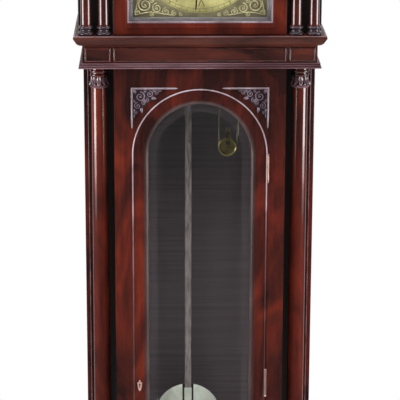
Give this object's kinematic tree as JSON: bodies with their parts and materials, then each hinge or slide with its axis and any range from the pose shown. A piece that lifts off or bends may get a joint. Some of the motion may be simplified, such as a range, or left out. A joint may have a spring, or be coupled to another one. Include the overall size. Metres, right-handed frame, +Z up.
{
  "type": "longcase clock",
  "caption": "Tall mahogany longcase clock with an arched glazed trunk door, corner columns, break-arch hood with paired colonnettes, brass dial, pendulum and weight-driven movement.",
  "frame": {"origin": "on the floor, in the middle of the plinth's width and depth", "axes": "+Z up, the dial and door face -Y, +X to the viewer's right"},
  "size_m": [0.528, 0.268, 2.3629],
  "materials": {
    "mahogany": "French-polished flame mahogany",
    "oak": "plain planed oak",
    "dull_mask": "dull grey fillet",
    "glass": "clear bevelled plate",
    "brass": "lacquered brass",
    "silvered_brass": "silvered, soft sheen",
    "steel": "blued steel",
    "bell_metal": "turned bell metal",
    "pale_wood": "pale varnished strip",
    "gut": "twisted gut"
  },
  "bodies": {
    "case": {"plinth": "mahogany", "base_front": "mahogany", "base_sides": "mahogany", "floor_board": "oak", "base_moulding": "mahogany", "backboard": "oak", "trunk_front": "mahogany", "trunk_sides": "mahogany", "niche_linings": "mahogany", "frieze": "mahogany", "lower_cornice": "mahogany", "seat_moulding": "mahogany", "trunk_columns": "mahogany", "trunk_capitals": "mahogany", "carved_spandrels": "mahogany", "applied_beads": "mahogany", "case_hardware": "brass", "seat_board": "oak", "movement_frame": "brass", "train_wheels": "brass", "bell": "bell_metal", "dial_plate": "brass", "chapter_ring": "silvered_brass", "dial_ornaments": "brass", "weights": "brass"},
    "trunk_door": {"door_frame": "mahogany", "door_bead": "mahogany", "door_inner_moulding": "mahogany", "door_glass": "glass", "door_hinge_leaves": "brass", "escutcheon": "brass", "lock_case": "brass"},
    "lock_bolt": {"lock_bolt": "steel"},
    "hood": {"hood_base": "mahogany", "hood_sides": "mahogany", "hood_mask": "dull_mask", "hood_entablature": "mahogany", "hood_roof": "mahogany", "hood_cornice": "mahogany", "hood_columns": "mahogany", "hood_finials": "mahogany", "hood_door_pivots": "brass"},
    "hood_door": {"hood_door_frame": "mahogany", "hood_door_glass": "glass"},
    "hour_hand": {"hour_hand": "steel"},
    "minute_hand": {"minute_hand": "steel"},
    "going_barrel": {"going_barrel": "brass"},
    "strike_barrel": {"strike_barrel": "brass"},
    "anchor": {"anchor_crutch": "steel"},
    "pendulum": {"pendulum_rod": "pale_wood", "pendulum_bob": "silvered_brass", "pendulum_fittings": "steel"},
    "going_pulley": {"going_pulley": "brass", "going_line": "gut"},
    "going_pulley_wheel": {"going_pulley_wheel": "brass"},
    "strike_pulley": {"strike_pulley": "brass", "strike_line": "gut"},
    "strike_pulley_wheel": {"strike_pulley_wheel": "brass"},
    "strike_hammer": {"strike_hammer": "steel"}
  },
  "joints": [
    {"name": "trunk_door_hinge", "type": "hinge", "parent": "case", "child": "trunk_door", "pos_m": [0.1315, -0.097, 1.0835], "axis": [0, 0, 1], "range_deg": [0, 110]},
    {"name": "lock_bolt_slide", "type": "slide", "parent": "trunk_door", "child": "lock_bolt", "axis": [-1, 0, 0], "range_m": [0, 0.008]},
    {"name": "hood_slide", "type": "slide", "parent": "case", "child": "hood", "axis": [0, -1, 0], "range_m": [0, 0.25]},
    {"name": "dial_door_hinge", "type": "hinge", "parent": "hood", "child": "hood_door", "pos_m": [0.158, -0.085, 1.945], "axis": [0, 0, 1], "range_deg": [0, 100]},
    {"name": "minute_hand_turn", "type": "hinge", "parent": "case", "child": "minute_hand", "pos_m": [0, -0.06, 1.945], "axis": [0, 1, 0], "continuous": true},
    {"name": "hour_hand_turn", "type": "hinge", "parent": "case", "child": "hour_hand", "pos_m": [0, -0.06, 1.945], "axis": [0, 1, 0], "continuous": true},
    {"name": "pendulum_swing", "type": "hinge", "parent": "case", "child": "pendulum", "pos_m": [-0.02, 0.0435, 1.985], "axis": [0, 1, 0], "range_deg": [-3, 3]},
    {"name": "anchor_rock", "type": "hinge", "parent": "case", "child": "anchor", "pos_m": [-0.02, 0, 1.985], "axis": [0, 1, 0], "range_deg": [-3, 3]},
    {"name": "going_pulley_run", "type": "slide", "parent": "case", "child": "going_pulley", "axis": [0, 0, 1], "range_m": [-0.75, 0.12], "deforming": ["going_line"]},
    {"name": "going_wheel_turn", "type": "hinge", "parent": "going_pulley", "child": "going_pulley_wheel", "pos_m": [0.0575, -0.00514, 1.547], "axis": [0, 1, 0], "range_deg": [-400, 2450]},
    {"name": "going_barrel_turn", "type": "hinge", "parent": "case", "child": "going_barrel", "pos_m": [0.055, 0, 1.905], "axis": [0, 1, 0], "range_deg": [-700, 4250]},
    {"name": "strike_pulley_run", "type": "slide", "parent": "case", "child": "strike_pulley", "axis": [0, 0, 1], "range_m": [-0.85, 0.03], "deforming": ["strike_line"]},
    {"name": "strike_wheel_turn", "type": "hinge", "parent": "strike_pulley", "child": "strike_pulley_wheel", "pos_m": [-0.0575, -0.00514, 1.65], "axis": [0, 1, 0], "range_deg": [-2750, 100]},
    {"name": "strike_barrel_turn", "type": "hinge", "parent": "case", "child": "strike_barrel", "pos_m": [-0.055, 0, 1.905], "axis": [0, 1, 0], "range_deg": [-4800, 200]},
    {"name": "strike_hammer_tilt", "type": "hinge", "parent": "case", "child": "strike_hammer", "pos_m": [0.0595, 0.027, 1.988], "axis": [0, 1, 0], "range_deg": [0, 12]}
  ],
  "couplings": [
    {"joint": "hour_hand_turn", "follows": "minute_hand_turn", "ratio": 0.083333},
    {"joint": "anchor_rock", "follows": "pendulum_swing", "ratio": 1},
    {"joint": "going_wheel_turn", "follows": "going_pulley_run", "rad_per_m": -55.556},
    {"joint": "going_barrel_turn", "follows": "going_pulley_run", "rad_per_m": -97.561},
    {"joint": "strike_wheel_turn", "follows": "strike_pulley_run", "rad_per_m": 55.556},
    {"joint": "strike_barrel_turn", "follows": "strike_pulley_run", "rad_per_m": 97.561}
  ]
}
